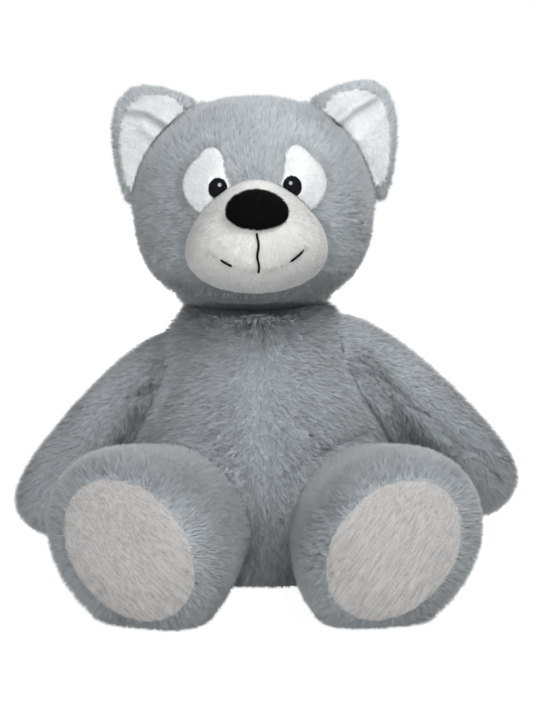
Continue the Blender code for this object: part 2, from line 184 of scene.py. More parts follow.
def eased(values, low, high):
    """0 below low, 1 above high, and a smooth step between."""
    share = np.clip((values - low) / (high - low), 0, 1)
    return share * share * (3 - 2 * share)


def waves(points, length, seed):
    """Slow, smooth changes over a cloth, about -1 to 1."""
    rng = np.random.default_rng(seed)
    ways = unit(rng.normal(0, 1, (7, 3))) * rng.uniform(0.7, 1.5, (7, 1)) * 2 * math.pi / length
    return 2 * np.sin(points @ ways.T + rng.uniform(0, 6.28, 7)).mean(1)


def from_line(points, line):
    """How far points are, seen from the front, from a line given as (x, z) in millimetres, and
    how far along it the nearest place is, from 0 to 1."""
    flat = points[:, (0, 2)]
    line = np.array(line, float) * MM
    best = np.full(len(points), np.inf)
    along = np.zeros(len(points))
    for index, (a, b) in enumerate(zip(line, line[1:])):
        share = np.clip(((flat - a) @ (b - a)) / ((b - a) @ (b - a)), 0, 1)
        far = np.linalg.norm(flat - a - share[:, None] * (b - a), axis=1)
        nearer = far < best
        best[nearer] = far[nearer]
        along[nearer] = (index + share[nearer]) / (len(line) - 1)
    return best, along


def applied(obj):
    """Swaps an object's mesh for what its modifiers make of it."""
    graph = bpy.context.evaluated_depsgraph_get()
    made = bpy.data.meshes.new_from_object(obj.evaluated_get(graph), depsgraph=graph)
    obj.modifiers.clear()
    obj.data = made


def remeshed(name, node, voxel, evening):
    """A copy of a CAD solid in even, small faces, with its edges a little softened."""
    copy = bpy.data.objects.new(name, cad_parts[node].data.copy())
    bpy.context.scene.collection.objects.link(copy)
    bm = bmesh.new()
    bm.from_mesh(copy.data)
    bmesh.ops.remove_doubles(bm, verts=bm.verts, dist=0.02 * MM)
    bm.to_mesh(copy.data)
    bm.free()
    cells = copy.modifiers.new("cells", "REMESH")
    cells.mode = "VOXEL"
    cells.voxel_size = voxel
    even = copy.modifiers.new("even", "SMOOTH")
    even.iterations = evening
    applied(copy)
    return copy


def swell_cloth(skin, start, held):
    """Where this cloth goes when its filling presses it out, with its seams held."""
    sack = bpy.data.objects.new("sack", skin.data.copy())
    bpy.context.scene.collection.objects.link(sack)
    place_vertices(sack.data, start)
    pins = sack.vertex_groups.new(name="pins")
    for index in np.flatnonzero(held > 0.5):
        pins.add([int(index)], 1.0, "REPLACE")
    cloth = sack.modifiers.new("cloth", "CLOTH")
    cloth.settings.use_pressure = True
    cloth.settings.uniform_pressure_force = SWELL_PRESSURE
    cloth.settings.effector_weights.gravity = 0
    cloth.settings.vertex_group_mass = "pins"
    cloth.point_cache.frame_start = 1
    cloth.point_cache.frame_end = SWELL_FRAMES
    for number in range(1, SWELL_FRAMES + 1):
        bpy.context.scene.frame_set(number)
    graph = bpy.context.evaluated_depsgraph_get()
    swollen = bpy.data.meshes.new_from_object(sack.evaluated_get(graph), depsgraph=graph)
    ended = positions(swollen)
    bpy.data.meshes.remove(swollen)
    bpy.data.objects.remove(sack)
    bpy.context.scene.frame_set(1)
    return ended


def dressed(piece, node):
    """A piece that stands for its CAD node, shaded smooth, with the CAD node hidden."""
    piece.data.materials.clear()
    piece.data.shade_smooth()
    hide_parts(node)
    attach(piece, "root")
    return piece


def stuffed_skin(name, node, neighbours, backing, sink=PILE_RISE, folds=()):
    """The backing cloth of one stuffed piece: its solid, swollen by its filling, with the skin
    sunk below the pile everywhere but where it is sewn to its neighbours. A fold is a line
    seen from the front, with the width and depth of the valley that it makes."""
    skin = remeshed(name, node, CLOTH_VOXEL, 4)
    start, normals = positions(skin.data), vertex_normals(skin.data)
    sewn = 1 - eased(distances(node_tree(*neighbours), start), 1.2 * MM, SEAM_REACH)
    grounded = 1 - eased(start[:, 2], 1 * MM, 5 * MM)
    held = np.maximum(sewn, grounded)[:, None]
    sunk = start - normals * sink * (1 - held)
    moved = swell_cloth(skin, sunk - normals * 0.5 * SWELL * (1 - held), held[:, 0]) - sunk
    outward = (moved * normals).sum(1, keepdims=True)
    moved = moved + normals * np.maximum(-0.4 * MM - outward, 0)
    far = np.linalg.norm(moved, axis=1, keepdims=True)
    sunk = sunk + moved * np.minimum(1, SWELL / np.maximum(far, 1e-9))
    place_vertices(skin.data, sunk)
    rounding = skin.modifiers.new("rounding", "SUBSURF")
    rounding.levels = rounding.render_levels = 1
    applied(skin)
    points, normals = positions(skin.data), vertex_normals(skin.data)
    for line, width, depth in folds:
        far, along = from_line(points, line)
        ends = np.minimum(1, 5 * np.minimum(along, 1 - along) + 0.25)
        dent = depth * MM * np.exp(-((far / (width * MM)) ** 2)) * ends * (normals[:, 1] < 0)
        points = points + np.array((0, 1, 0)) * dent[:, None]
    place_vertices(skin.data, points)
    dressed(skin, node)
    skin.data.materials.append(backing)
    return skin


def pile(name, skin, count, length, comb, seed, short_at=(), clear_of=(), width=0.33 * MM,
         lean=(30, 62), tuft=9, gather=0.14, streak_and_painted_light=None, ruffle=None, trim=None, stand=None, least=0.75,
         spread=1.0, seam_painted_shade=0.0):
    """The pile of one skin: tufts of tapered fibres, combed along the cloth, shorter where the
    cloth is sewn in. Each fibre is one thin blade, from its root to its tip. Where the pile is
    ruffled it parts, and its darker roots show. Trim changes its length, and stand the way that
    its fibres rise from the cloth. Streak and painted light changes its shade: painted light and
    painted shade where light and shade fall, and streaks of the cloth's own. Seam painted shade
    darkens it along its seams."""
    rng = np.random.default_rng(seed)
    mesh = skin.data
    mesh.calc_loop_triangles()
    corners = np.empty(len(mesh.loop_triangles) * 3, np.int32)
    mesh.loop_triangles.foreach_get("vertices", corners)
    corners = corners.reshape(-1, 3)
    points, normals = positions(mesh), vertex_normals(mesh)
    near = distances(node_tree(*short_at), points) if short_at else np.full(len(points), 1.0)
    bare = distances(node_tree(*clear_of), points) if clear_of else np.full(len(points), 1.0)
    open_air = eased(near, 0.35 * MM, 0.6 * MM) * eased(bare, 0.3 * MM, 0.9 * MM)
    open_air *= eased(points[:, 2], 0.3 * MM, 1.5 * MM)
    cross = np.cross(points[corners[:, 1]] - points[corners[:, 0]],
                     points[corners[:, 2]] - points[corners[:, 0]])
    weight = np.linalg.norm(cross, axis=1) * open_air[corners].mean(1)
    chosen = rng.choice(len(corners), count, p=weight / weight.sum())
    mix = rng.dirichlet((1, 1, 1), count)[:, :, None]
    root = (points[corners[chosen]] * mix).sum(1)
    normal = unit((normals[corners[chosen]] * mix).sum(1))
    loose_from_seam = eased((near[corners[chosen]] * mix[:, :, 0]).sum(1), 0.8 * MM, SEAM_REACH)
    grown = least + (1 - least) * loose_from_seam
    if trim is not None:
        grown = grown * trim(root, normal)
    if stand is not None:
        normal = stand(root, normal)

    centres = rng.choice(count, max(1, count // tuft), replace=False)
    search = kdtree.KDTree(len(centres))
    for index, centre in enumerate(centres):
        search.insert(root[centre], index)
    search.balance()
    tuft_of = np.array([search.find(point)[1] for point in root])

    def by_tuft(values):
        return values[tuft_of]

    rough = 0.3 * eased(waves(root, 46 * MM, seed), 0.15, 1.3)
    if ruffle is not None:
        rough = np.clip(rough + ruffle(root, normal), 0, 1)
    flow = comb(root, normal)
    flow = unit(flow - normal * (flow * normal).sum(1, keepdims=True))
    side = np.cross(normal, flow)
    sway = by_tuft(rng.normal(0, 1, len(centres))) * (0.16 + 0.34 * rough)
    sway += rng.normal(0, 1, count) * (0.16 + 0.14 * rough) + 0.3 * waves(root, 70 * MM, seed + 100)
    flow = flow * np.cos(sway)[:, None] + side * np.sin(sway)[:, None]
    tilt = by_tuft(rng.normal(0, 1, len(centres))) * (0.06 + 0.16 * rough) - 0.16 * rough
    rest = np.radians(lean[0]) + tilt + rng.normal(0, 0.10, count)
    fall = np.radians(lean[1]) + tilt + rng.normal(0, 0.14, count)
    reach = length * grown * rng.uniform(0.8, 1.12, count) * by_tuft(rng.uniform(0.92, 1.06, len(centres)))
    low = normal * np.cos(rest)[:, None] + flow * np.sin(rest)[:, None]
    high = normal * np.cos(fall)[:, None] + flow * np.sin(fall)[:, None]
    tip = root + low * (0.5 * reach)[:, None] + high * (0.55 * reach)[:, None]
    own = centres[tuft_of]
    drawn = (gather * (1 + 1.5 * rough))[:, None]
    tip += (tip[own] - tip) * drawn
    tip[:, 2] = np.maximum(tip[:, 2], TIP_CLEARANCE)

    broad = unit(np.cross(low, normal))
    twist = rng.uniform(-0.5, 0.5, count)
    broad = broad * np.cos(twist)[:, None] + np.cross(broad, low) * np.sin(twist)[:, None]
    half = broad * (0.5 * width * rng.uniform(0.7, 1.2, count))[:, None]
    verts = np.stack([root - half, root + half, tip], 1).reshape(-1, 3)

    fibres = bpy.data.meshes.new(name)
    fibres.vertices.add(3 * count)
    fibres.vertices.foreach_set("co", verts.astype(np.float32).ravel())
    fibres.loops.add(3 * count)
    fibres.loops.foreach_set("vertex_index", np.arange(3 * count, dtype=np.int32))
    fibres.polygons.add(count)
    fibres.polygons.foreach_set("loop_start", np.arange(0, 3 * count, 3, dtype=np.int32))
    shade = 0.5 + by_tuft(rng.normal(0, 1, len(centres))) * (0.04 + 0.12 * rough) * spread
    shade += rng.normal(0, 0.03, count) * spread + 0.05 * waves(root, 55 * MM, seed + 200) - 0.10 * rough
    # Painted shade along the seams: the pile darkens towards where it is sewn in.
    shade -= seam_painted_shade * (1 - loose_from_seam)
    # Painted light and painted shade from the piece's own map, with streaks of the cloth's own.
    if streak_and_painted_light is not None:
        shade = shade + streak_and_painted_light(root, normal)
    across = np.repeat(np.clip(shade, 0.02, 0.98), 3)
    along = np.tile((0.02, 0.02, 0.98), count)
    layer = fibres.uv_layers.new(name="OFBake")
    layer.data.foreach_set("uv", np.stack([across, along], 1).astype(np.float32).ravel())
    fibres.update()
    fibres.shade_smooth()
    loose = (0.07 + 0.18 * rough)[:, None]
    lit = normal + loose * by_tuft(rng.normal(0, 1, (len(centres), 3)))
    lit = unit(lit + 0.05 * rng.normal(0, 1, (count, 3)) + 0.15 * flow)
    fibres.normals_split_custom_set_from_vertices(np.repeat(lit, 3, 0).astype(np.float32))
    coat = bpy.data.objects.new(name, fibres)
    bpy.context.scene.collection.objects.link(coat)
    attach(coat, "root")
    return coat


def pile_material(name, root, middle, tip, sheen=0.2, specular=0.15):
    """Fibres that darken towards their roots, each tuft a little lighter or darker."""
    material = bpy.data.materials.new(name)
    material.use_nodes = True
    nodes, links = material.node_tree.nodes, material.node_tree.links
    shader = nodes["Principled BSDF"]
    shader.inputs["Roughness"].default_value = 0.85
    shader.inputs["Sheen Weight"].default_value = sheen
    shader.inputs["Sheen Roughness"].default_value = 0.5
    shader.inputs["Specular IOR Level"].default_value = specular
    place = nodes.new("ShaderNodeUVMap")
    place.uv_map = "OFBake"
    split = nodes.new("ShaderNodeSeparateXYZ")
    links.new(place.outputs["UV"], split.inputs[0])
    length = nodes.new("ShaderNodeValToRGB")
    length.color_ramp.elements[0].color = (*root, 1)
    length.color_ramp.elements[1].color = (*tip, 1)
    halfway = length.color_ramp.elements.new(0.5)
    halfway.color = (*middle, 1)
    links.new(split.outputs["Y"], length.inputs["Fac"])
    shade = nodes.new("ShaderNodeMapRange")
    shade.inputs["To Min"].default_value = 0.2
    shade.inputs["To Max"].default_value = 1.8
    links.new(split.outputs["X"], shade.inputs["Value"])
    dyed = nodes.new("ShaderNodeMix")
    dyed.data_type = "RGBA"
    dyed.blend_type = "MULTIPLY"
    dyed.inputs["Factor"].default_value = 1.0
    links.new(length.outputs["Color"], dyed.inputs["A"])
    links.new(shade.outputs["Result"], dyed.inputs["B"])
    links.new(dyed.outputs["Result"], shader.inputs["Base Color"])
    return material


def backing_material(name, dark, light):
    """The cloth that pile is woven into, mottled as the roots of fibres are."""
    material = bpy.data.materials.new(name)
    material.use_nodes = True
    nodes, links = material.node_tree.nodes, material.node_tree.links
    shader = nodes["Principled BSDF"]
    shader.inputs["Roughness"].default_value = 0.95
    shader.inputs["Specular IOR Level"].default_value = 0.1
    place = nodes.new("ShaderNodeTexCoord")
    roots = nodes.new("ShaderNodeTexNoise")
    roots.inputs["Scale"].default_value = 700
    roots.inputs["Detail"].default_value = 3
    links.new(place.outputs["Object"], roots.inputs["Vector"])
    colour = nodes.new("ShaderNodeValToRGB")
    colour.color_ramp.elements[0].position = 0.3
    colour.color_ramp.elements[0].color = (*dark, 1)
    colour.color_ramp.elements[1].position = 0.7
    colour.color_ramp.elements[1].color = (*light, 1)
    links.new(roots.outputs["Fac"], colour.inputs["Fac"])
    links.new(colour.outputs["Color"], shader.inputs["Base Color"])
    bump = nodes.new("ShaderNodeBump")
    bump.inputs["Strength"].default_value = 0.5
    bump.inputs["Distance"].default_value = 0.5 * MM
    links.new(roots.outputs["Fac"], bump.inputs["Height"])
    links.new(bump.outputs["Normal"], shader.inputs["Normal"])
    return material


grey_pile = pile_material("grey_pile", GREY_ROOT, GREY_MIDDLE, GREY_TIP)
grey_backing = backing_material("grey_backing", (0.30, 0.323, 0.34), (0.46, 0.493, 0.514))

BELLY_SEAM = ((1, 170), (1, 130), (0, 80), (1, 59), (3, 20))
HIP_FOLD = ((32, 83.5), (45.7, 89), (60, 92))
NECK_CREASE = ((-56, 177), (-35, 172), (-4, 170.5), (25, 172), (45, 177))
body_neighbours = ("head", "arm_left", "arm_right", "leg_left", "leg_right", "tail")
body = stuffed_skin("body_skin", "body", body_neighbours, grey_backing,
                    folds=((BELLY_SEAM, 5, 1.2), (HIP_FOLD, 2.5, 1.4), (NECK_CREASE, 6, 9)))
shoulder_trees = {"body": node_tree("arm_left", "arm_right"), "arm": node_tree("body")}
CHEST_MIDDLE = np.array((0, 25, 120)) * MM


def shoulder_share(root, sewn_to):
    """1 on the seam at the top of a shoulder, and 0 away from it."""
    share = np.exp(-((distances(shoulder_trees[sewn_to], root) / (9 * MM)) ** 2))
    return share * eased(root[:, 2], 122 * MM, 140 * MM)


def shoulder_stand(root, normal, sewn_to):
    """At the top of a shoulder the pile of sleeve and body stands one way and hides the seam."""
    share = 0.7 * shoulder_share(root, sewn_to)[:, None]
    return unit(normal * (1 - share) + unit(root - CHEST_MIDDLE) * share)


def trim_body(root, normal):
    return 1 + 0.35 * shoulder_share(root, "body")


def stand_body(root, normal):
    return shoulder_stand(root, normal, "body")


def comb_body(root, normal):
    outward = np.clip(root[:, 0] / (22 * MM), -1, 1)
    drop = 0.25 + 0.75 * eased(150 * MM - root[:, 2], 0, 70 * MM)
    drop = np.maximum(drop, 1 - np.abs(outward))
    back = eased(root[:, 1], -10 * MM, 20 * MM)
    return np.stack([outward * (1 - 0.8 * back), 0.25 * (1 - back), -drop - back], 1)


def ruffle_body(root, normal):
    beside = np.exp(-(((np.abs(root[:, 0]) - 24 * MM) / (14 * MM)) ** 2))
    lower = eased(115 * MM - root[:, 2], 0, 40 * MM)
    collar = eased(root[:, 2], 150 * MM, 162 * MM)
    middle = 0.14 * eased(60 * MM - np.abs(root[:, 0]), 0, 30 * MM)
    return (root[:, 1] < 0) * np.maximum.reduce([0.6 * beside * lower, 0.3 * collar, middle])


leg_tree = node_tree("leg_left", "leg_right")


# Painted shade in the hip fold, in the neck crease under the chin and where the legs meet the body. The
# lighter streak along the belly seam and the dark seam line at its top are the cloth's own.
def body_streak_and_painted_shade(root, normal):
    front = root[:, 1] < 0
    streak = np.exp(-((root[:, 0] / (5 * MM)) ** 2)) * eased(root[:, 2], 50 * MM, 70 * MM)
    streak *= eased(150 * MM - root[:, 2], 0, 20 * MM)
    seam = np.exp(-(((root[:, 0] - 1 * MM) / (0.8 * MM)) ** 2)) * eased(root[:, 2], 140 * MM, 150 * MM)
    hip, _ = from_line(root, HIP_FOLD)
    legs = np.exp(-((distances(leg_tree, root) / (3 * MM)) ** 2))
    neck, _ = from_line(root, NECK_CREASE)
    # Painted shade of the hip fold and of the neck crease under the head, with the seam's own dark line.
    dark = 0.3 * seam + 0.3 * np.exp(-((hip / (1.3 * MM)) ** 2)) + 0.55 * np.exp(-((neck / (18 * MM)) ** 2))
    return front * (0.07 * streak - dark) - 0.14 * legs


body_pile = pile("body_pile", body, 140000, PLUSH_PILE, comb_body, 3, body_neighbours,
                 streak_and_painted_light=body_streak_and_painted_shade, ruffle=ruffle_body, trim=trim_body, stand=stand_body, least=0.88)
body_pile.data.materials.append(grey_pile)


# The head: a stuffed ball of the same plush. Its pile is brushed up over the brow and out over
# the cheeks, and a stitch above each eye patch draws it in.
CHIN_LIFT = 7.5 * MM
BROW_STITCHES = np.array(((-28.1, -57, 264.9), (18, -57, 266))) * MM
face_panels = ("muzzle", "ear_back_left", "ear_back_right", "eye_patch_left", "eye_patch_right")
brow_folds = [(((x - 3, z + 1), (x + 3, z - 1)), 3, 3) for x, _, z in BROW_STITCHES / MM]
head = stuffed_skin("head_skin", "head", ("body", *face_panels), grey_backing, folds=brow_folds)


def chin_share(points):
    """1 under the chin, where the head is tucked up on the chest, and 0 elsewhere."""
    share = eased(200 * MM - points[:, 2], 0, 26 * MM) * eased(-points[:, 1], 5 * MM, 30 * MM)
    return share * eased(62 * MM - np.abs(points[:, 0] + 5 * MM), 0, 24 * MM)


head_points = positions(head.data)
head_points[:, 2] += CHIN_LIFT * chin_share(head_points)
place_vertices(head.data, head_points)
muzzle_low, muzzle_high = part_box("muzzle")
face_centre = np.array((muzzle_low + muzzle_high) / 2) + np.array((0, 20, 14)) * MM


def comb_head(root, normal):
    away = unit(root - face_centre)
    back = eased(root[:, 1], 0, 40 * MM)[:, None]
    brow = (eased(root[:, 2], 245 * MM, 270 * MM) * (root[:, 1] < 20 * MM))[:, None]
    away = away * (1 - 0.7 * brow) + np.array((0, 0.3, 0.8)) * brow
    return away * (1 - 0.7 * back) + np.array((0, 0.1, -0.8)) * back


def ruffle_head(root, normal):
    cheek = eased(235 * MM - root[:, 2], 0, 30 * MM) * eased(np.abs(root[:, 0] + 5 * MM), 35 * MM, 55 * MM)
    return 0.45 * cheek


# Painted light on the crown, lighter towards the top of the head; painted shade in the dimples at the brow
# stitches and under the chin.
def head_painted_light(root, normal):
    drawn = sum(np.exp(-((np.linalg.norm(root - spot, axis=1) / (3.2 * MM)) ** 2)) for spot in BROW_STITCHES)
    return 0.06 * eased(root[:, 2], 210 * MM, 280 * MM) - 0.35 * drawn - 0.34 * chin_share(root)


def trim_head(root, normal):
    return 1 - 0.5 * chin_share(root)


# Painted shade also darkens the head's pile along its seams round the face panels.
head_pile = pile("head_pile", head, 140000, 5.2 * MM, comb_head, 5, face_panels, ("body",),
                 streak_and_painted_light=head_painted_light, ruffle=ruffle_head, trim=trim_head, seam_painted_shade=0.06)
head_pile.data.materials.append(grey_pile)


# The muzzle: white pile, much shorter than the plush, stuffed and sewn to the front of the
# head, and brushed out from the nose.
def velour(name, colour, streak, scale=260, stretch=6, turn=0.0, depth=0.4 * MM):
    """Short pile cloth: fine fibre ends, brushed into faint streaks."""
    material = bpy.data.materials.new(name)
    material.use_nodes = True
    nodes, links = material.node_tree.nodes, material.node_tree.links
    shader = nodes["Principled BSDF"]
    shader.inputs["Roughness"].default_value = 0.9
    shader.inputs["Sheen Weight"].default_value = 0.2
    shader.inputs["Sheen Roughness"].default_value = 0.4
    shader.inputs["Specular IOR Level"].default_value = 0.15
    place = nodes.new("ShaderNodeTexCoord")
    grain = nodes.new("ShaderNodeMapping")
    grain.vector_type = "TEXTURE"
    grain.inputs["Rotation"].default_value = (0, turn, 0)
    grain.inputs["Scale"].default_value = (1, 1, stretch)
    links.new(place.outputs["Object"], grain.inputs["Vector"])
    brushed = nodes.new("ShaderNodeTexNoise")
    brushed.inputs["Scale"].default_value = scale
    brushed.inputs["Detail"].default_value = 4
    links.new(grain.outputs["Vector"], brushed.inputs["Vector"])
    ends = nodes.new("ShaderNodeTexNoise")
    ends.inputs["Scale"].default_value = 1500
    ends.inputs["Detail"].default_value = 2
    links.new(place.outputs["Object"], ends.inputs["Vector"])
    mixed = nodes.new("ShaderNodeMix")
    mixed.inputs["Factor"].default_value = 0.4
    links.new(brushed.outputs["Fac"], mixed.inputs["A"])
    links.new(ends.outputs["Fac"], mixed.inputs["B"])
    colours = nodes.new("ShaderNodeValToRGB")
    colours.color_ramp.elements[0].position = 0.36
    colours.color_ramp.elements[0].color = (*streak, 1)
    colours.color_ramp.elements[1].position = 0.58
    colours.color_ramp.elements[1].color = (*colour, 1)
    links.new(mixed.outputs["Result"], colours.inputs["Fac"])
    links.new(colours.outputs["Color"], shader.inputs["Base Color"])
    bump = nodes.new("ShaderNodeBump")
    bump.inputs["Strength"].default_value = 0.4
    bump.inputs["Distance"].default_value = depth
    links.new(mixed.outputs["Result"], bump.inputs["Height"])
    links.new(bump.outputs["Normal"], shader.inputs["Normal"])
    return material


def panel(name, node, material, voxel=0.9 * MM, evening=6, sink=0.0, ridges=()):
    """A panel of short cloth or of stitches, with its edge softened. A ridge is a line seen from
    the front, with the width and height in millimetres that the cloth rises along it."""
    cloth = remeshed(name, node, voxel, evening)
    points, normals = positions(cloth.data), vertex_normals(cloth.data)
    points -= normals * sink
    for line, width, height in ridges:
        far, _ = from_line(points, line)
        rise = height * MM * np.exp(-((far / (width * MM)) ** 2)) * eased(-normals[:, 1], 0, 0.5)
        points[:, 1] -= rise
    place_vertices(cloth.data, points)
    dressed(cloth, node)
    cloth.data.materials.append(material)
    return cloth


muzzle_velour = velour("muzzle_velour", (0.66, 0.66, 0.655), (0.60, 0.60, 0.595), scale=180, stretch=2)
muzzle = panel("muzzle_skin", "muzzle", muzzle_velour, voxel=1.6 * MM, evening=5, sink=0.5 * MM)
nose_low, nose_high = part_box("nose")
nose_centre = np.array((nose_low + nose_high) / 2)


def comb_muzzle(root, normal):
    return unit(root - nose_centre)


# Painted light on the top of the muzzle, and painted shade in the crease along the smile stitches.
def muzzle_painted_light(root, normal):
    smile = distances(node_tree("smile_stitch_left", "smile_stitch_right"), root)
    return 0.12 * eased(root[:, 2], 204 * MM, 226 * MM) - 0.3 * np.exp(-((smile / (1.0 * MM)) ** 2))


muzzle_pile = pile("muzzle_pile", muzzle, 56000, 2.6 * MM, comb_muzzle, 51, ("head", "nose"),
                   width=0.30 * MM, lean=(55, 80), tuft=7, gather=0.1, streak_and_painted_light=muzzle_painted_light, spread=0.4)
muzzle_pile.data.materials.append(
    pile_material("muzzle_pile", (0.60, 0.60, 0.595), (0.67, 0.67, 0.665), (0.72, 0.72, 0.715), sheen=0.1)
)


# The eye patches: leaves of the whitest, shortest pile, sewn flat on the head with their
# lower ends under the muzzle.
SIDES = (("left", 1), ("right", -1))
patch_velour = velour("patch_velour", (0.74, 0.75, 0.76), (0.68, 0.69, 0.70), scale=200, stretch=2)
patch_pile_material = pile_material("patch_pile", (0.69, 0.70, 0.71), (0.75, 0.76, 0.77), (0.80, 0.81, 0.82),
                                    sheen=0.1)
for side, out in SIDES:
    node = f"eye_patch_{side}"
    patch = panel(f"{node}_cloth", node, patch_velour)
    eye_low, eye_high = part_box(f"eye_{side}")
    eye_centre = np.array((eye_low + eye_high) / 2)

    def comb_patch(root, normal, centre=eye_centre):
        return unit(root - centre)

    patch_pile = pile(f"{node}_pile", patch, 9000, 2.2 * MM, comb_patch, 61 + out,
                      ("muzzle", f"eye_{side}"), ("head",), width=0.32 * MM, tuft=7, lean=(58, 84),
                      gather=0.1, spread=0.5, least=0.7)
    patch_pile.data.materials.append(patch_pile_material)


# The eyes: black satin stitch in an oval with a charcoal edge, and a small white dot in a pale
# ring worked near the top of each.
def thread_material(name, colour, rings=(), centre=(0, 0, 0), radii=(1, 1)):
    """Embroidery thread laid side by side. Rings are threads of other colours, each from a share
    of the patch's half width and height outwards."""
    material = bpy.data.materials.new(name)
    material.use_nodes = True
    nodes, links = material.node_tree.nodes, material.node_tree.links
    shader = nodes["Principled BSDF"]
    shader.inputs["Roughness"].default_value = 0.7
    shader.inputs["Specular IOR Level"].default_value = 0.08
    place = nodes.new("ShaderNodeTexCoord")
    rows = nodes.new("ShaderNodeTexWave")
    rows.inputs["Scale"].default_value = 420
    rows.inputs["Distortion"].default_value = 0.6
    links.new(place.outputs["Object"], rows.inputs["Vector"])
    tone = nodes.new("ShaderNodeMapRange")
    tone.inputs["To Min"].default_value = 0.7
    tone.inputs["To Max"].default_value = 1.1
    links.new(rows.outputs["Fac"], tone.inputs["Value"])
    dyed = nodes.new("ShaderNodeMix")
    dyed.data_type = "RGBA"
    dyed.blend_type = "MULTIPLY"
    dyed.inputs["Factor"].default_value = 1.0
    dyed.inputs["A"].default_value = (*colour, 1)
    if rings:
        middle = nodes.new("ShaderNodeMapping")
        middle.inputs["Location"].default_value = (-centre[0] / radii[0], 0, -centre[2] / radii[1])
        middle.inputs["Scale"].default_value = (1 / radii[0], 0, 1 / radii[1])
        links.new(place.outputs["Object"], middle.inputs["Vector"])
        out = nodes.new("ShaderNodeVectorMath")
        out.operation = "LENGTH"
        links.new(middle.outputs["Vector"], out.inputs[0])
        ringed = nodes.new("ShaderNodeValToRGB")
        ringed.color_ramp.elements[0].color = (*colour, 1)
        ringed.color_ramp.elements[1].position = 1.0
        ringed.color_ramp.elements[1].color = (*rings[-1][1], 1)
        before = colour
        for share, after in rings:
            ringed.color_ramp.elements.new(share - 0.03).color = (*before, 1)
            ringed.color_ramp.elements.new(share + 0.03).color = (*after, 1)
            before = after
        links.new(out.outputs["Value"], ringed.inputs["Fac"])
        links.new(ringed.outputs["Color"], dyed.inputs["A"])
    links.new(tone.outputs["Result"], dyed.inputs["B"])
    links.new(dyed.outputs["Result"], shader.inputs["Base Color"])
    bump = nodes.new("ShaderNodeBump")
    bump.inputs["Strength"].default_value = 0.5
    bump.inputs["Distance"].default_value = 0.15 * MM
    links.new(rows.outputs["Fac"], bump.inputs["Height"])
    links.new(bump.outputs["Normal"], shader.inputs["Normal"])
    return material


def oval(low, high):
    """Half the width and half the height of a box."""
    return (high.x - low.x) / 2, (high.z - low.z) / 2


black_thread = thread_material("black_thread", (0.005, 0.005, 0.006))
for side, _ in SIDES:
    eye_low, eye_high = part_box(f"eye_{side}")
    eye_thread = thread_material(f"eye_thread_{side}", (0.003, 0.003, 0.004),
                                 rings=((0.84, (0.014, 0.014, 0.016)),),
                                 centre=(eye_low + eye_high) / 2, radii=oval(eye_low, eye_high))
    panel(f"eye_{side}_stitch", f"eye_{side}", eye_thread, voxel=0.45 * MM, evening=4)
    glint_low, glint_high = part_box(f"eye_glint_{side}")
    glint_thread = thread_material(f"glint_thread_{side}", (0.85, 0.85, 0.85),
                                   rings=((0.36, (0.03, 0.03, 0.03)), (0.58, (0.5, 0.5, 0.51))),
                                   centre=(glint_low + glint_high) / 2, radii=oval(glint_low, glint_high))
    panel(f"eye_glint_{side}_stitch", f"eye_glint_{side}", glint_thread, voxel=0.15 * MM,
          evening=1, sink=-0.15 * MM)


# The nose: black plush with a very short nap, stuffed and sewn on top of the muzzle's front.
black_backing = backing_material("black_backing", (0.003, 0.003, 0.003), (0.008, 0.008, 0.008))
nose = panel("nose_skin", "nose", black_backing, voxel=1.0 * MM, evening=4)


def comb_nose(root, normal):
    return unit(root - nose_centre) + np.array((0, 0, -0.4))


nose_pile = pile("nose_pile", nose, 12000, 2.3 * MM, comb_nose, 71, ("muzzle",), width=0.3 * MM,
                 lean=(38, 62), least=0.95)
nose_pile.data.materials.append(
    pile_material("nose_pile", (0.002, 0.002, 0.002), (0.003, 0.003, 0.003), (0.006, 0.006, 0.006),
                  sheen=0.0, specular=0.07)
)


# The mouth: black thread below the nose, and a row of it along the seam of the muzzle, half
# hidden by the pile.
MOUTH_SWAY = 0.45 * MM
SMILE_HIDDEN = 3.4 * MM
SMILE_SEEN = ((-20, 3.4), (20, 4))
for node in ("mouth_stitch", "smile_stitch_left", "smile_stitch_right"):
    stitch = panel(f"{node}_thread", node, black_thread, voxel=0.3 * MM, evening=2)
    points = positions(stitch.data) + 0.12 * MM * vertex_normals(stitch.data)
    if node == "mouth_stitch":
        points[:, 0] += MOUTH_SWAY * np.sin(points[:, 2] / (2.1 * MM))
    else:
        seen = sum(np.exp(-(((points[:, 0] - x * MM) / (reach * MM)) ** 4)) for x, reach in SMILE_SEEN)
        points[:, 1] += SMILE_HIDDEN * (1 - seen)
    place_vertices(stitch.data, points)


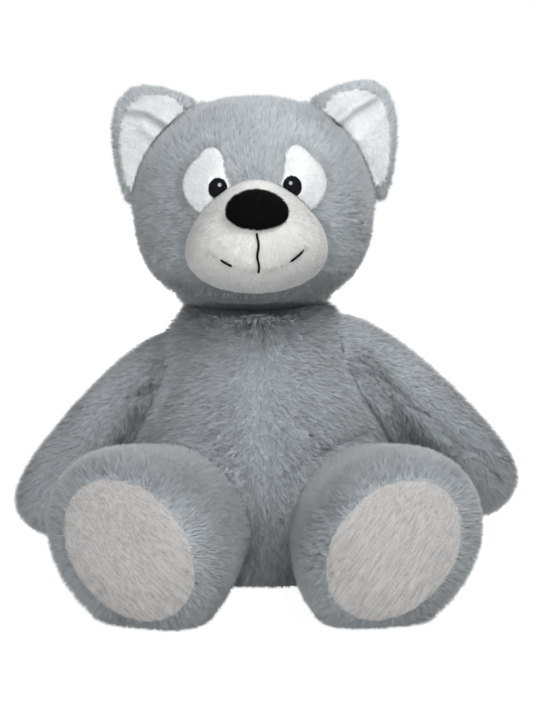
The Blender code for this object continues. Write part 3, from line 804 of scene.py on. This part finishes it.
# The ears: plush backs, cupped forward, each with a lining of white pile sewn in round its
# edge. A tuck at the root draws a crease up the lining.
ear_velour = velour("ear_velour", (0.71, 0.72, 0.735), (0.63, 0.64, 0.655), scale=200, stretch=2)
ear_lining_pile = pile_material("ear_lining_pile", (0.58, 0.59, 0.60), (0.67, 0.68, 0.69),
                                (0.74, 0.75, 0.76), sheen=0.1)
EAR_CREASES = {
    "left": ((((42, 272), (54, 282), (66, 289)), 3.6, 4.6), (((58, 262), (70, 275), (80, 281)), 3, 0.9)),
    "right": ((((-83, 283), (-68, 281), (-53, 272)), 3.6, 4.2), (((-70, 270), (-58, 262)), 3, 2.2)),
}
for side, out in SIDES:
    node = f"ear_back_{side}"
    lining_node = f"ear_lining_{side}"
    ear = panel(f"{node}_skin", node, grey_backing, voxel=1.8 * MM, evening=4, sink=0.8 * MM)
    ear_low, ear_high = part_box(lining_node)
    ear_centre = np.array((ear_low + ear_high) / 2)

    def comb_ear(root, normal, centre=ear_centre):
        return unit(root - centre) + np.array((0, 0.5, 0.2))

    def comb_lining(root, normal, centre=ear_centre):
        return unit(root - centre) + np.array((0, -0.1, 0))

    ear_pile = pile(f"{node}_pile", ear, 26000, 4.2 * MM, comb_ear, 41 + out, ("head",),
                    (lining_node,), lean=(30, 64), least=0.8)
    ear_pile.data.materials.append(grey_pile)
    lining = panel(f"{lining_node}_cloth", lining_node, ear_velour, voxel=1.2 * MM, evening=4,
                   ridges=EAR_CREASES[side])
    lining_pile = pile(f"{lining_node}_pile", lining, 10000, 2.2 * MM, comb_lining, 45 + out,
                       ("head",), (node,), width=0.3 * MM, tuft=6, lean=(55, 78), gather=0.1, spread=0.4)
    lining_pile.data.materials.append(ear_lining_pile)


# The arms: stuffed sleeves of plush, closed at the paw and sewn to the body at the shoulder.
# Their pile runs down to the paw, and the cloth folds where the arm hangs against the body.
ARM_FOLDS = {
    "left": ((((58, 134), (68, 122), (76, 108), (84, 91), (96, 79), (110, 71)), 8, 5),
             (((70, 124), (80, 116), (87, 107), (97, 102), (103, 94), (117, 83), (130, 75), (143, 60)),
              2.2, 2.2)),
    "right": ((((-58, 132), (-65, 118), (-70, 104), (-77, 88), (-86, 73)), 7, 4),
              (((-58, 116), (-68, 114), (-80, 111)), 3, 2.2)),
}
for side, out in SIDES:
    node = f"arm_{side}"
    folds = ARM_FOLDS[side]
    arm = stuffed_skin(f"{node}_skin", node, ("body", "head", f"leg_{side}"), grey_backing,
                       sink=(2.2 - 0.6 * out) * MM, folds=folds)

    def comb_arm(root, normal, out=out):
        across = eased(130 * MM - root[:, 2], 0, 60 * MM)
        return np.stack([out * (1 - 0.35 * across), np.full(len(root), 0.05), -0.45 - 0.5 * across], 1)

    def ruffle_arm(root, normal, folds=folds):
        valley, _ = from_line(root, folds[0][0])
        return (normal[:, 1] < 0.2) * 0.35 * np.exp(-((valley / (10 * MM)) ** 2))

    def stand_arm(root, normal):
        return shoulder_stand(root, normal, "arm")

    # Painted shade in the valley where the arm hangs against the body, and in the broken crease beside it.
    def arm_painted_shade(root, normal, folds=folds):
        valley, _ = from_line(root, folds[0][0])
        crease, along = from_line(root, folds[1][0])
        broken = 0.5 + 0.5 * np.sin(along * 21)
        dark = 0.10 * np.exp(-((valley / (8 * MM)) ** 2))
        dark += 0.3 * broken * np.exp(-((crease / (1.2 * MM)) ** 2))
        return -dark * (normal[:, 1] < 0.2)

    arm_pile = pile(f"{node}_pile", arm, 62000, PLUSH_PILE, comb_arm, 11 + out,
                    ("body", "head", f"leg_{side}"), streak_and_painted_light=arm_painted_shade, ruffle=ruffle_arm, stand=stand_arm,
                    least=0.7)
    arm_pile.data.materials.append(grey_pile)


# The legs: stuffed tubes that widen into oval feet. Round each sole the pile stands out over
# the seam and frames it.
for side, out in SIDES:
    node = f"leg_{side}"
    leg = stuffed_skin(f"{node}_skin", node, ("body", f"sole_{side}", f"arm_{side}"), grey_backing,
                       sink=2 * MM)
    sole_low, sole_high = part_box(f"sole_{side}")
    sole_centre = np.array((sole_low + sole_high) / 2)

    def comb_leg(root, normal, centre=sole_centre, out=out):
        backward = np.tile((0.2 * out, 0.55, -0.6), (len(root), 1))
        front = eased(-root[:, 1], 105 * MM, 134 * MM)[:, None]
        return backward * (1 - front) + unit(root - centre) * front

    # Painted shade on the upward-facing crown of each foot and a little over its front.
    def leg_painted_shade(root, normal):
        crown = eased(normal[:, 2], 0.2, 0.8) * eased(-root[:, 1], 90 * MM, 120 * MM)
        return -0.15 * crown - 0.045 * eased(-root[:, 1], 105 * MM, 130 * MM)

    # Painted shade also darkens the leg's pile along its seams.
    leg_pile = pile(f"{node}_pile", leg, 80000, PLUSH_PILE, comb_leg, 21 + out,
                    ("body", f"arm_{side}"), (f"sole_{side}",), lean=(25, 54), streak_and_painted_light=leg_painted_shade, least=0.75,
                    seam_painted_shade=0.1)
    leg_pile.data.materials.append(grey_pile)


# The soles: ovals of beige-grey velour, sewn into the front of each foot. Its nap is so short
# that only the long streaks of its brushing show.
for side, turn in (("left", 35), ("right", -50)):
    node = f"sole_{side}"
    sole_velour = velour(f"sole_velour_{side}", (0.40, 0.39, 0.379), (0.27, 0.262, 0.255), scale=850,
                         stretch=22, turn=math.radians(turn), depth=0.6 * MM)
    panel(f"{node}_cloth", node, sole_velour, voxel=1.5 * MM, evening=3)


# The tail: a stubby stuffed tube on the back, with its pile combed to the tip.
tail = stuffed_skin("tail_skin", "tail", ("body",), grey_backing)


def comb_tail(root, normal):
    return np.tile((0, 0.7, 0.5), (len(root), 1))


tail_pile = pile("tail_pile", tail, 20000, PLUSH_PILE, comb_tail, 31, ("body",))
tail_pile.data.materials.append(grey_pile)
